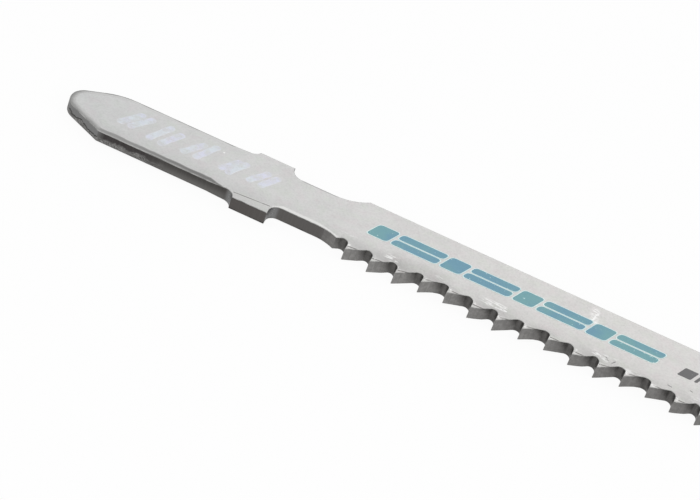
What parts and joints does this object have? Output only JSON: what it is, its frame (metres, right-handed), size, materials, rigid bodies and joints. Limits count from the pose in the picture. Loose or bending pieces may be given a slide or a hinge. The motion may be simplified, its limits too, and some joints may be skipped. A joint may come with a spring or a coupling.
{
  "type": "jigsaw blade",
  "caption": "Flat steel jigsaw blade with a two-lugged T-shaped tang, a necked shoulder and a wave-set toothed edge.",
  "frame": {"origin": "centre of the tang on the blade's lower face, in line with the lugs' shoulders that face the teeth", "axes": "+X along the blade from the tang to the tip, teeth towards -Y, +Z through the thickness; the blade lies flat"},
  "size_m": [0.1, 0.0087, 0.0019],
  "materials": {
    "blade_steel": "satin"
  },
  "bodies": {
    "root": {"blade": "blade_steel"}
  },
  "joints": []
}
